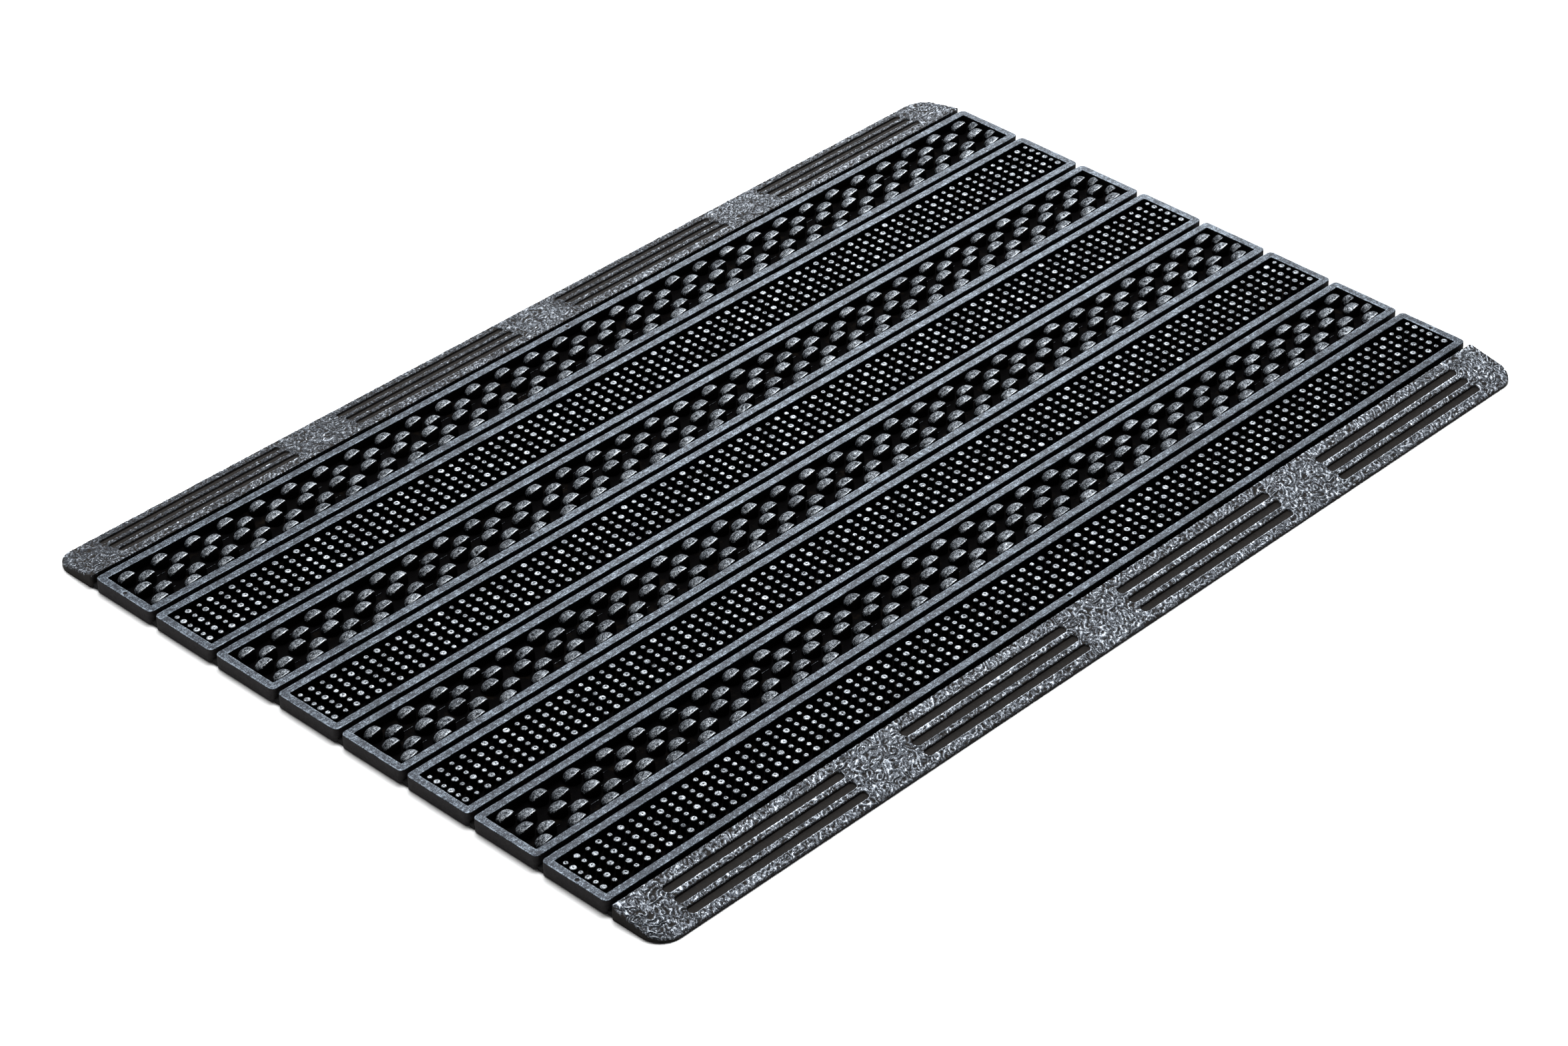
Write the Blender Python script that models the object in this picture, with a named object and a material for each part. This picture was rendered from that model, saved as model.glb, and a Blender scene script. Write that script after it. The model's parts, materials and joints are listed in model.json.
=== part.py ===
"""Ribbed rubber door mat, 600 x 400 mm.

Eight long tread panels lie side by side between two ramp borders. Each panel is
a raised rim round a shallow trough; odd panels carry large studs, even panels
carry fine pins. Thin rubber webs at floor level join every panel to the next and
work as living hinges, so the mat rolls up across its width.

Axes: +X runs along the panels, +Y across them towards the rear border, +Z up.
The origin is the middle of the underside, on the floor.
"""
import math

import bmesh
import bpy
from mathutils import Matrix

MM = 0.001

# ---- driving dimensions -------------------------------------------------
MAT_LENGTH = 600.0 * MM        # along X
MAT_WIDTH = 400.0 * MM         # along Y
MAT_HEIGHT = 7.5 * MM          # floor to the top of the rims
PANEL_COUNT = 8
PANEL_WIDTH = 39.5 * MM
CHANNEL_WIDTH = 2.75 * MM      # clear width between two neighbours
PITCH = PANEL_WIDTH + CHANNEL_WIDTH
FIT_GAP = 0.3 * MM             # clearance between touching pieces

RIM_WIDTH = 4.2 * MM
PANEL_CORNER_R = 2.5 * MM      # plan radius of a panel's outer corners
FLOOR_THICKNESS = 2.3 * MM     # trough floor

WEB_THICKNESS = 2.3 * MM
WEB_INSET = 1.0 * MM           # web stops this far short of each end
HINGE_Z = WEB_THICKNESS / 2    # neutral line of a web

STUD_ROWS = 5
STUD_ROW_PITCH = 6.0 * MM
STUD_PITCH = 19.85 * MM        # along X within a row
STUDS_PER_ROW = 30
STUD_FIRST = 12.15 * MM        # from the panel's end, odd rows
STUD_STAGGER = 7.2 * MM        # even rows start this much further along
STUD_SIDES = 6
STUD_BASE_R = 3.65 * MM        # corner radius of the stud at the floor
STUD_TOP_R = 2.3 * MM          # corner radius of the stud at its top
STUD_TOP_Z = 8.2 * MM          # the crowns stand a little proud of the rims

PIN_ROWS = 6
PIN_ROW_PITCH = 4.55 * MM
PIN_RIDGE_WIDTH = 2.6 * MM
PIN_RIDGE_MARGIN = 1.6 * MM    # ridge end to the end of the floor plate
PIN_TOP_Z = 7.3 * MM

BORDER_WIDTH = (MAT_WIDTH - PANEL_COUNT * PANEL_WIDTH
                - (PANEL_COUNT + 1) * CHANNEL_WIDTH) / 2
BORDER_OUTER_Z = 1.5 * MM      # thickness at the outer edge
BORDER_CORNER_R = 12.0 * MM
SLOT_GROUPS = 4
SLOT_GROUP_PITCH = 147.7 * MM
SLOTS_PER_GROUP = 3
SLOT_LENGTH = 110.0 * MM
SLOT_WIDTH = 4.2 * MM
SLOT_PITCH = 7.2 * MM
SLOT_FIRST = 8.0 * MM          # first slot's centre line from the inner edge
SLOT_DEPTH = 1.2 * MM
SLOT_END_SEGMENTS = 4

ROOT_PANEL = 4

# ---- scene --------------------------------------------------------------
for ob in list(bpy.data.objects):
    bpy.data.objects.remove(ob, do_unlink=True)

parts = bpy.data.collections.new("door_mat")
cutters = bpy.data.collections.new("door_mat_cutters")
bpy.context.scene.collection.children.link(parts)
bpy.context.scene.collection.children.link(cutters)


def material(name, colour, roughness, metallic):
    mat = bpy.data.materials.new(name)
    mat.use_nodes = True
    shader = mat.node_tree.nodes["Principled BSDF"]
    shader.inputs["Base Color"].default_value = (*colour, 1.0)
    shader.inputs["Roughness"].default_value = roughness
    shader.inputs["Metallic"].default_value = metallic
    mat.diffuse_color = (*colour, 1.0)
    return mat


def add(name, mesh, collection, colour=None, roughness=0.6, metallic=0.0):
    ob = bpy.data.objects.new(name, mesh)
    collection.objects.link(ob)
    if colour is not None:
        mesh.materials.clear()
        mesh.materials.append(material(name + "_finish", colour, roughness, metallic))
    return ob


def as_cutter(ob):
    ob.hide_render = True
    ob.display_type = "WIRE"
    return ob


def block(bm, x0, x1, y0, y1, z0, z1):
    """An axis-aligned block, as one more body in bm."""
    size = Matrix.Diagonal((x1 - x0, y1 - y0, z1 - z0, 1.0))
    centre = Matrix.Translation(((x0 + x1) / 2, (y0 + y1) / 2, (z0 + z1) / 2))
    return bmesh.ops.create_cube(bm, size=1.0, matrix=centre @ size)


def mesh_from(bm, name):
    mesh = bpy.data.meshes.new(name)
    bm.to_mesh(mesh)
    bm.free()
    return mesh


def boolean(ob, other, operation):
    mod = ob.modifiers.new(operation.lower() + "_" + other.name, "BOOLEAN")
    mod.operation = operation
    mod.solver = "EXACT"
    mod.object = other
    return mod


def plan_spline(curve, points):
    spline = curve.splines.new("POLY")
    spline.points.add(len(points) - 1)
    for point, (x, y) in zip(spline.points, points):
        point.co = (x, y, 0.0, 1.0)
    spline.use_cyclic_u = True


def rounded_rectangle(length, width, radius, segments):
    points = []
    for cx, cy, start in ((1, 1, 0), (-1, 1, 90), (-1, -1, 180), (1, -1, 270)):
        for i in range(segments + 1):
            a = math.radians(start + 90.0 * i / segments)
            points.append((cx * (length / 2 - radius) + radius * math.cos(a),
                           cy * (width / 2 - radius) + radius * math.sin(a)))
    return points


def plate_from_outline(name, outlines, thickness):
    """A flat outline with thickness, turned into a welded mesh standing on z = 0."""
    curve = bpy.data.curves.new(name + "_outline", "CURVE")
    curve.dimensions = "2D"
    curve.fill_mode = "BOTH"
    curve.extrude = thickness / 2
    for outline in outlines:
        plan_spline(curve, outline)
    ob = bpy.data.objects.new(name + "_outline", curve)
    cutters.objects.link(ob)
    bpy.context.view_layer.update()
    evaluated = ob.evaluated_get(bpy.context.evaluated_depsgraph_get())
    mesh = bpy.data.meshes.new_from_object(evaluated)
    bm = bmesh.new()
    bm.from_mesh(mesh)
    bmesh.ops.remove_doubles(bm, verts=bm.verts, dist=1e-6)
    bmesh.ops.translate(bm, verts=bm.verts, vec=(0.0, 0.0, thickness / 2))
    bmesh.ops.recalc_face_normals(bm, faces=bm.faces)
    bm.to_mesh(mesh)
    bm.free()
    bpy.data.objects.remove(ob, do_unlink=True)
    bpy.data.curves.remove(curve)
    mesh.name = name
    return mesh


# ---- where everything is across the mat ----------------------------------
def panel_far_y(k):
    """Rear edge of panel k, 1 at the rear to PANEL_COUNT at the front."""
    return MAT_WIDTH / 2 - BORDER_WIDTH - CHANNEL_WIDTH - (k - 1) * PITCH


def panel_mid_y(k):
    return panel_far_y(k) - PANEL_WIDTH / 2


def channel_mid_y(k):
    """Channel k lies behind panel k; channel PANEL_COUNT + 1 is the front one."""
    return panel_far_y(k) + CHANNEL_WIDTH / 2


# ---- one empty for each rigid body, on the axis that it turns about ------
def empty(name, y, parent=None):
    ob = bpy.data.objects.new(name, None)
    ob.empty_display_size = 0.02
    parts.objects.link(ob)
    if parent is not None:
        ob.parent = parent
        ob.location = (0.0, y - parent["axis_y"], 0.0)
    else:
        ob.location = (0.0, y, HINGE_Z)
    ob["axis_y"] = y
    return ob


axis_of = {ROOT_PANEL: empty("axis_panel_%d" % ROOT_PANEL, panel_mid_y(ROOT_PANEL))}
for k in range(ROOT_PANEL - 1, 0, -1):
    axis_of[k] = empty("axis_panel_%d" % k, channel_mid_y(k + 1), axis_of[k + 1])
for k in range(ROOT_PANEL + 1, PANEL_COUNT + 1):
    axis_of[k] = empty("axis_panel_%d" % k, channel_mid_y(k), axis_of[k - 1])
axis_of["rear"] = empty("axis_border_rear", channel_mid_y(1), axis_of[1])
axis_of["front"] = empty("axis_border_front", channel_mid_y(PANEL_COUNT + 1),
                         axis_of[PANEL_COUNT])


def hang(ob, body, y):
    """Puts ob at (0, y, 0) as a child of its body's empty."""
    ob.parent = axis_of[body]
    ob.location = (0.0, y - axis_of[body]["axis_y"], -HINGE_Z)


# ---- panel frames: a raised rim round each trough ------------------------
INNER_LENGTH = MAT_LENGTH - 2 * RIM_WIDTH
INNER_WIDTH = PANEL_WIDTH - 2 * RIM_WIDTH
PLATE_LENGTH = INNER_LENGTH - 2 * FIT_GAP
PLATE_WIDTH = INNER_WIDTH - 2 * FIT_GAP

SILVER = (0.30, 0.34, 0.38)
BLACK = (0.015, 0.015, 0.017)

frame_mesh = plate_from_outline(
    "panel_frame",
    [rounded_rectangle(MAT_LENGTH, PANEL_WIDTH, PANEL_CORNER_R, 4),
     [(-INNER_LENGTH / 2, -INNER_WIDTH / 2), (INNER_LENGTH / 2, -INNER_WIDTH / 2),
      (INNER_LENGTH / 2, INNER_WIDTH / 2), (-INNER_LENGTH / 2, INNER_WIDTH / 2)]],
    MAT_HEIGHT)
for k in range(1, PANEL_COUNT + 1):
    frame = add("panel_frame_%d" % k, frame_mesh.copy(), parts, SILVER, 0.45, 0.3)
    hang(frame, k, panel_mid_y(k))


# ---- stud treads: a floor plate with staggered rows of tapered studs ------
def floor_plate():
    bm = bmesh.new()
    block(bm, -PLATE_LENGTH / 2, PLATE_LENGTH / 2,
          -PLATE_WIDTH / 2, PLATE_WIDTH / 2, 0.0, FLOOR_THICKNESS)
    return bm


def studs():
    """All studs of one tread, six-sided and tapered; each starts a little inside the plate."""
    bm = bmesh.new()
    root_z = FLOOR_THICKNESS - 0.5 * MM
    taper = (STUD_BASE_R - STUD_TOP_R) / (STUD_TOP_Z - FLOOR_THICKNESS)
    root = STUD_BASE_R + taper * 0.5 * MM
    for row in range(STUD_ROWS):
        y = ((STUD_ROWS - 1) / 2 - row) * STUD_ROW_PITCH
        offset = STUD_FIRST + (STUD_STAGGER if row % 2 else 0.0)
        count = STUDS_PER_ROW - (1 if row % 2 else 0)
        for i in range(count):
            x = -MAT_LENGTH / 2 + offset + i * STUD_PITCH
            at = Matrix.Translation((x, y, (root_z + STUD_TOP_Z) / 2))
            # flats face the rims, corners point along X
            bmesh.ops.create_cone(bm, cap_ends=True, segments=STUD_SIDES,
                                  radius1=root, radius2=STUD_TOP_R,
                                  depth=STUD_TOP_Z - root_z,
                                  matrix=at @ Matrix.Rotation(math.radians(30), 4, "Z"))
    return bm


stud_tool = as_cutter(add("stud_group", mesh_from(studs(), "stud_group"), cutters))

# ---- pin treads: a floor plate with six raised ridges under the pin rows ---
def pin_ridges():
    bm = bmesh.new()
    half = PLATE_LENGTH / 2 - PIN_RIDGE_MARGIN
    for row in range(PIN_ROWS):
        y = ((PIN_ROWS - 1) / 2 - row) * PIN_ROW_PITCH
        block(bm, -half, half, y - PIN_RIDGE_WIDTH / 2, y + PIN_RIDGE_WIDTH / 2,
              FLOOR_THICKNESS - 0.5 * MM, PIN_TOP_Z)
    return bm


pin_tool = as_cutter(add("pin_ridge_group", mesh_from(pin_ridges(), "pin_ridge_group"), cutters))

for k in range(1, PANEL_COUNT + 1):
    kind, tool = ("stud", stud_tool) if k % 2 else ("pin", pin_tool)
    plate = add("%s_tread_%d" % (kind, k), mesh_from(floor_plate(), "tread_%d" % k),
                parts, BLACK, 0.6, 0.0)
    hang(plate, k, panel_mid_y(k))
    own = as_cutter(tool.copy())
    own.name = "%s_for_%d" % (kind, k)
    cutters.objects.link(own)
    own.location = (0.0, panel_mid_y(k), 0.0)
    boolean(plate, own, "UNION")
bpy.data.objects.remove(stud_tool, do_unlink=True)
bpy.data.objects.remove(pin_tool, do_unlink=True)


# ---- ramp borders: a wedge with rounded outer corners and blind slots -----
def border_outline():
    """Plan of the rear border, inner edge on y = 0, outer edge on y = BORDER_WIDTH."""
    half, r = MAT_LENGTH / 2, BORDER_CORNER_R
    r_in = 1.5 * MM
    points = []
    for cx, cy, radius, start, n in (
            (half - r, BORDER_WIDTH - r, r, 0, 8), (-half + r, BORDER_WIDTH - r, r, 90, 8),
            (-half + r_in, r_in, r_in, 180, 2), (half - r_in, r_in, r_in, 270, 2)):
        for i in range(n + 1):
            a = math.radians(start + 90.0 * i / n)
            points.append((cx + radius * math.cos(a), cy + radius * math.sin(a)))
    return points


SLOPE = math.atan2(MAT_HEIGHT - BORDER_OUTER_Z, BORDER_WIDTH)


def ramp_cutter():
    """Everything above the ramp: a block tilted about the inner top edge."""
    bm = bmesh.new()
    block(bm, -MAT_LENGTH, MAT_LENGTH, -0.05, 0.08, 0.0, 0.03)
    tilt = Matrix.Translation((0.0, 0.0, MAT_HEIGHT)) @ Matrix.Rotation(-SLOPE, 4, "X")
    bmesh.ops.transform(bm, matrix=tilt, verts=bm.verts)
    return bm


def slot_cutter():
    """Round-ended slots, all cut to the same depth below the ramp."""
    bm = bmesh.new()
    r = SLOT_WIDTH / 2
    straight = SLOT_LENGTH / 2 - r
    for g in range(SLOT_GROUPS):
        x = (g - (SLOT_GROUPS - 1) / 2) * SLOT_GROUP_PITCH
        for s in range(SLOTS_PER_GROUP):
            y = SLOT_FIRST + s * SLOT_PITCH
            ring = []
            for side in (1, -1):
                for i in range(SLOT_END_SEGMENTS + 1):
                    a = math.radians(-90 + 180.0 * i / SLOT_END_SEGMENTS + (0 if side > 0 else 180))
                    ring.append(bm.verts.new((x + side * straight + r * math.cos(a),
                                              y + r * math.sin(a), -SLOT_DEPTH)))
            face = bm.faces.new(ring)
            lifted = bmesh.ops.extrude_face_region(bm, geom=[face])["geom"]
            bmesh.ops.translate(bm, vec=(0.0, 0.0, SLOT_DEPTH + 5.0 * MM),
                                verts=[v for v in lifted if isinstance(v, bmesh.types.BMVert)])
    bmesh.ops.recalc_face_normals(bm, faces=bm.faces)
    tilt = Matrix.Translation((0.0, 0.0, MAT_HEIGHT)) @ Matrix.Rotation(-SLOPE, 4, "X")
    bmesh.ops.transform(bm, matrix=tilt, verts=bm.verts)
    return bm


border_mesh = plate_from_outline("ramp_border", [border_outline()], MAT_HEIGHT + 1.0 * MM)
for name, body, y, turn in (
        ("ramp_border_rear", "rear", MAT_WIDTH / 2 - BORDER_WIDTH, 0.0),
        ("ramp_border_front", "front", -MAT_WIDTH / 2 + BORDER_WIDTH, math.pi)):
    border = add(name, border_mesh.copy(), parts, SILVER, 0.5, 0.3)
    hang(border, body, y)
    border.rotation_euler = (0.0, 0.0, turn)
    for label, bm in (("ramp", ramp_cutter()), ("slots", slot_cutter())):
        tool = as_cutter(add("%s_%s" % (name, label), mesh_from(bm, label), cutters))
        tool.location = (0.0, y, 0.0)
        tool.rotation_euler = (0.0, 0.0, turn)
        boolean(border, tool, "DIFFERENCE")

# ---- hinge webs: the thin strips that join neighbours at floor level -------
for k in range(1, PANEL_COUNT + 2):
    bm = bmesh.new()
    half = MAT_LENGTH / 2 - WEB_INSET
    wide = CHANNEL_WIDTH / 2 - FIT_GAP
    block(bm, -half, half, -wide, wide, 0.0, WEB_THICKNESS)
    web = add("hinge_web_%d" % k, mesh_from(bm, "hinge_web"), parts, BLACK, 0.7, 0.0)
    # a web belongs to the body nearer the root
    body = k if k <= ROOT_PANEL else k - 1
    hang(web, body, channel_mid_y(k))

bpy.context.view_layer.update()
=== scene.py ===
"""Looks of the ribbed rubber door mat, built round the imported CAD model."""
import json
import math

import bpy
import numpy as np
from mathutils import Matrix, Vector
from mathutils.geometry import delaunay_2d_cdt

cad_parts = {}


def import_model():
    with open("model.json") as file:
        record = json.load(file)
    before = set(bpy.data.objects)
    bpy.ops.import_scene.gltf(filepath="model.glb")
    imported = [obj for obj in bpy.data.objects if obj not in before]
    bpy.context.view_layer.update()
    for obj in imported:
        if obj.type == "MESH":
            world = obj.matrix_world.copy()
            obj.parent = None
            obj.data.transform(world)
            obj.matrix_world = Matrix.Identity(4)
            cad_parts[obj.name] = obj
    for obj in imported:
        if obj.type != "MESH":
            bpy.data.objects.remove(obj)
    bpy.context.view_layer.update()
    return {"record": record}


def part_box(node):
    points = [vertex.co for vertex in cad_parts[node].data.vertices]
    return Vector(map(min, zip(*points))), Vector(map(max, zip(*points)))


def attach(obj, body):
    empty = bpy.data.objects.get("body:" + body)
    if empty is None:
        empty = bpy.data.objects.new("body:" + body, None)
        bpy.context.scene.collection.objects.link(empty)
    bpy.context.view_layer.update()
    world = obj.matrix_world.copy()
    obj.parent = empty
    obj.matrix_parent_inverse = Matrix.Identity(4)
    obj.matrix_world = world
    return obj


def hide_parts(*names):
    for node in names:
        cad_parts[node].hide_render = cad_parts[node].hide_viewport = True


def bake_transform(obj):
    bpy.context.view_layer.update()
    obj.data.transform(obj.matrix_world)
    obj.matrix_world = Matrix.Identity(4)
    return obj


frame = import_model()
MM = 0.001

# ---------------------------------------------------------------- sizes (mm), as in the CAD
LENGTH = 600.0
HALF = LENGTH / 2
PANELS = 8
TOP = 7.5
FLOOR = 2.3
RIM = 4.2
CORNER_R = 2.5
PANEL_W = 39.5
CHANNEL = 2.75
BORDER_W = 29.625
BORDER_OUT_Z = 1.5


def node_box(name):
    lo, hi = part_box(name)
    return np.array(lo) / MM, np.array(hi) / MM


# ---------------------------------------------------------------- numpy noise
def _hash(ix, iy, seed):
    h = (ix.astype(np.int64) * 374761393 + iy.astype(np.int64) * 668265263
         + seed * 2147483647) & 0xFFFFFFFF
    h = ((h ^ (h >> 13)) * 1274126177) & 0xFFFFFFFF
    h = ((h ^ (h >> 16)) * 2246822519) & 0xFFFFFFFF
    return (h ^ (h >> 15)) & 0xFFFFFFFF


def _grad_dot(ix, iy, dx, dy, seed):
    a = _hash(ix, iy, seed) / 4294967296.0 * 2 * np.pi
    return np.cos(a) * dx + np.sin(a) * dy


def perlin(x, y, seed=0):
    x, y = np.broadcast_arrays(np.asarray(x, float), np.asarray(y, float))
    ix, iy = np.floor(x).astype(np.int64), np.floor(y).astype(np.int64)
    fx, fy = x - ix, y - iy
    u = fx * fx * fx * (fx * (fx * 6 - 15) + 10)
    v = fy * fy * fy * (fy * (fy * 6 - 15) + 10)
    a = _grad_dot(ix, iy, fx, fy, seed)
    b = _grad_dot(ix + 1, iy, fx - 1, fy, seed)
    c = _grad_dot(ix, iy + 1, fx, fy - 1, seed)
    d = _grad_dot(ix + 1, iy + 1, fx - 1, fy - 1, seed)
    return 1.5 * ((a + (b - a) * u) + ((c + (d - c) * u) - (a + (b - a) * u)) * v)


def fbm(x, y, seed=0, octaves=3, gain=0.5):
    total, amp = 0.0, 1.0
    for o in range(octaves):
        total = total + amp * perlin(x * 2 ** o, y * 2 ** o, seed + 17 * o)
        amp *= gain
    return total


def smoothstep(a, b, x):
    t = np.clip((x - a) / (b - a), 0.0, 1.0)
    return t * t * (3 - 2 * t)


# ---------------------------------------------------------------- mesh helpers
class Build:
    """Collects points and faces of one piece, in mm."""

    def __init__(self):
        self.points, self.paint, self.bare, self.light, self.faces, self.n = [], [], [], [], [], 0

    # by default a point's bare rubber is near-black painted shade, as in the recesses
    def add(self, points, paint, bare=0.0, light=0.5):
        start = self.n
        points = np.asarray(points, float).reshape(-1, 3)
        self.points.append(points)
        self.bare.append(np.broadcast_to(np.asarray(bare, float), (len(points),)).copy())
        self.light.append(np.broadcast_to(np.asarray(light, float), (len(points),)).copy())
        self.paint.append(np.broadcast_to(np.asarray(paint, float), (len(points),)).copy())
        self.n += len(points)
        return start

    def quads(self, a):
        self.faces.append(np.asarray(a, np.int64).reshape(-1, 4))

    def tris(self, a):
        self.faces.append(np.asarray(a, np.int64).reshape(-1, 3))

    def poly(self, a):
        self.faces.append(np.asarray(a, np.int64).reshape(1, -1))

    def object(self, name, material, smooth_angle=40.0):
        points = np.concatenate(self.points) * MM
        paint = np.concatenate(self.paint)
        mesh = bpy.data.meshes.new(name)
        loops = np.concatenate([f.reshape(-1) for f in self.faces])
        totals = np.concatenate([np.full(len(f), f.shape[1]) for f in self.faces])
        starts = np.concatenate([[0], np.cumsum(totals)[:-1]])
        mesh.vertices.add(len(points))
        mesh.vertices.foreach_set("co", points.astype(np.float32).reshape(-1))
        mesh.loops.add(len(loops))
        mesh.loops.foreach_set("vertex_index", loops.astype(np.int32))
        mesh.polygons.add(len(totals))
        mesh.polygons.foreach_set("loop_start", starts.astype(np.int32))
        mesh.update(calc_edges=True)
        mesh.validate()
        attribute = mesh.attributes.new("paint", "FLOAT", "POINT")
        attribute.data.foreach_set("value", paint.astype(np.float32))
        attribute = mesh.attributes.new("bare", "FLOAT", "POINT")
        attribute.data.foreach_set("value", np.concatenate(self.bare).astype(np.float32))
        attribute = mesh.attributes.new("light", "FLOAT", "POINT")
        attribute.data.foreach_set("value", np.concatenate(self.light).astype(np.float32))
        mesh.shade_smooth()
        if smooth_angle is not None:
            mesh.set_sharp_from_angle(angle=math.radians(smooth_angle))
        mesh.materials.append(material)
        ob = bpy.data.objects.new(name, mesh)
        bpy.context.scene.collection.objects.link(ob)
        return ob


def grid_quads(rows, cols, start=0, wrap_cols=False, flip=False):
    """Quads of a rows x cols grid of points stored row by row."""
    r = np.arange(rows - 1)[:, None]
    c = np.arange(cols if wrap_cols else cols - 1)[None, :]
    c2 = (c + 1) % cols
    a, b = r * cols + c, r * cols + c2
    d, e = (r + 1) * cols + c, (r + 1) * cols + c2
    q = np.stack([a, b, e, d], -1).reshape(-1, 4) + start
    return q[:, ::-1] if flip else q


# ---------------------------------------------------------------- materials
def _node(tree, kind, where=(0, 0), **values):
    node = tree.nodes.new(kind)
    node.location = where
    for key, value in values.items():
        if hasattr(node, key):
            setattr(node, key, value)
        else:
            node.inputs[key].default_value = value
    return node


def ramp(tree, source, stops, where=(0, 0)):
    node = tree.nodes.new("ShaderNodeValToRGB")
    node.location = where
    elements = node.color_ramp.elements
    while len(elements) > len(stops):
        elements.remove(elements[-1])
    while len(elements) < len(stops):
        elements.new(0.5)
    for element, (position, colour) in zip(elements, stops):
        element.position = position
        element.color = colour if len(colour) == 4 else (*colour, 1.0)
    tree.links.new(source, node.inputs["Fac"])
    return node


def math_node(tree, operation, a, b=None, clamp=False):
    node = tree.nodes.new("ShaderNodeMath")
    node.operation = operation
    node.use_clamp = clamp
    for i, value in enumerate((a, b)):
        if value is None:
            continue
        if isinstance(value, (int, float)):
            node.inputs[i].default_value = value
        else:
            tree.links.new(value, node.inputs[i])
    return node.outputs[0]


def mix_colour(tree, factor, a, b, blend="MIX"):
    node = tree.nodes.new("ShaderNodeMix")
    node.data_type = "RGBA"
    node.blend_type = blend
    if isinstance(factor, (int, float)):
        node.inputs["Factor"].default_value = factor
    else:
        tree.links.new(factor, node.inputs["Factor"])
    for name, value in (("A", a), ("B", b)):
        socket = [s for s in node.inputs if s.name == name and s.type == "RGBA"][0]
        if isinstance(value, tuple):
            socket.default_value = (*value, 1.0)
        else:
            tree.links.new(value, socket)
    return [s for s in node.outputs if s.type == "RGBA"][0]


def noise_node(tree, coords, scale, detail=3.0, roughness=0.6, distortion=0.0):
    node = tree.nodes.new("ShaderNodeTexNoise")
    node.inputs["Scale"].default_value = scale
    node.inputs["Detail"].default_value = detail
    node.inputs["Roughness"].default_value = roughness
    node.inputs["Distortion"].default_value = distortion
    tree.links.new(coords, node.inputs["Vector"])
    return node.outputs["Fac"]


def mapped(tree, coords, scale=(1, 1, 1)):
    node = tree.nodes.new("ShaderNodeMapping")
    node.inputs["Scale"].default_value = scale
    tree.links.new(coords, node.inputs["Vector"])
    return node.outputs["Vector"]


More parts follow.
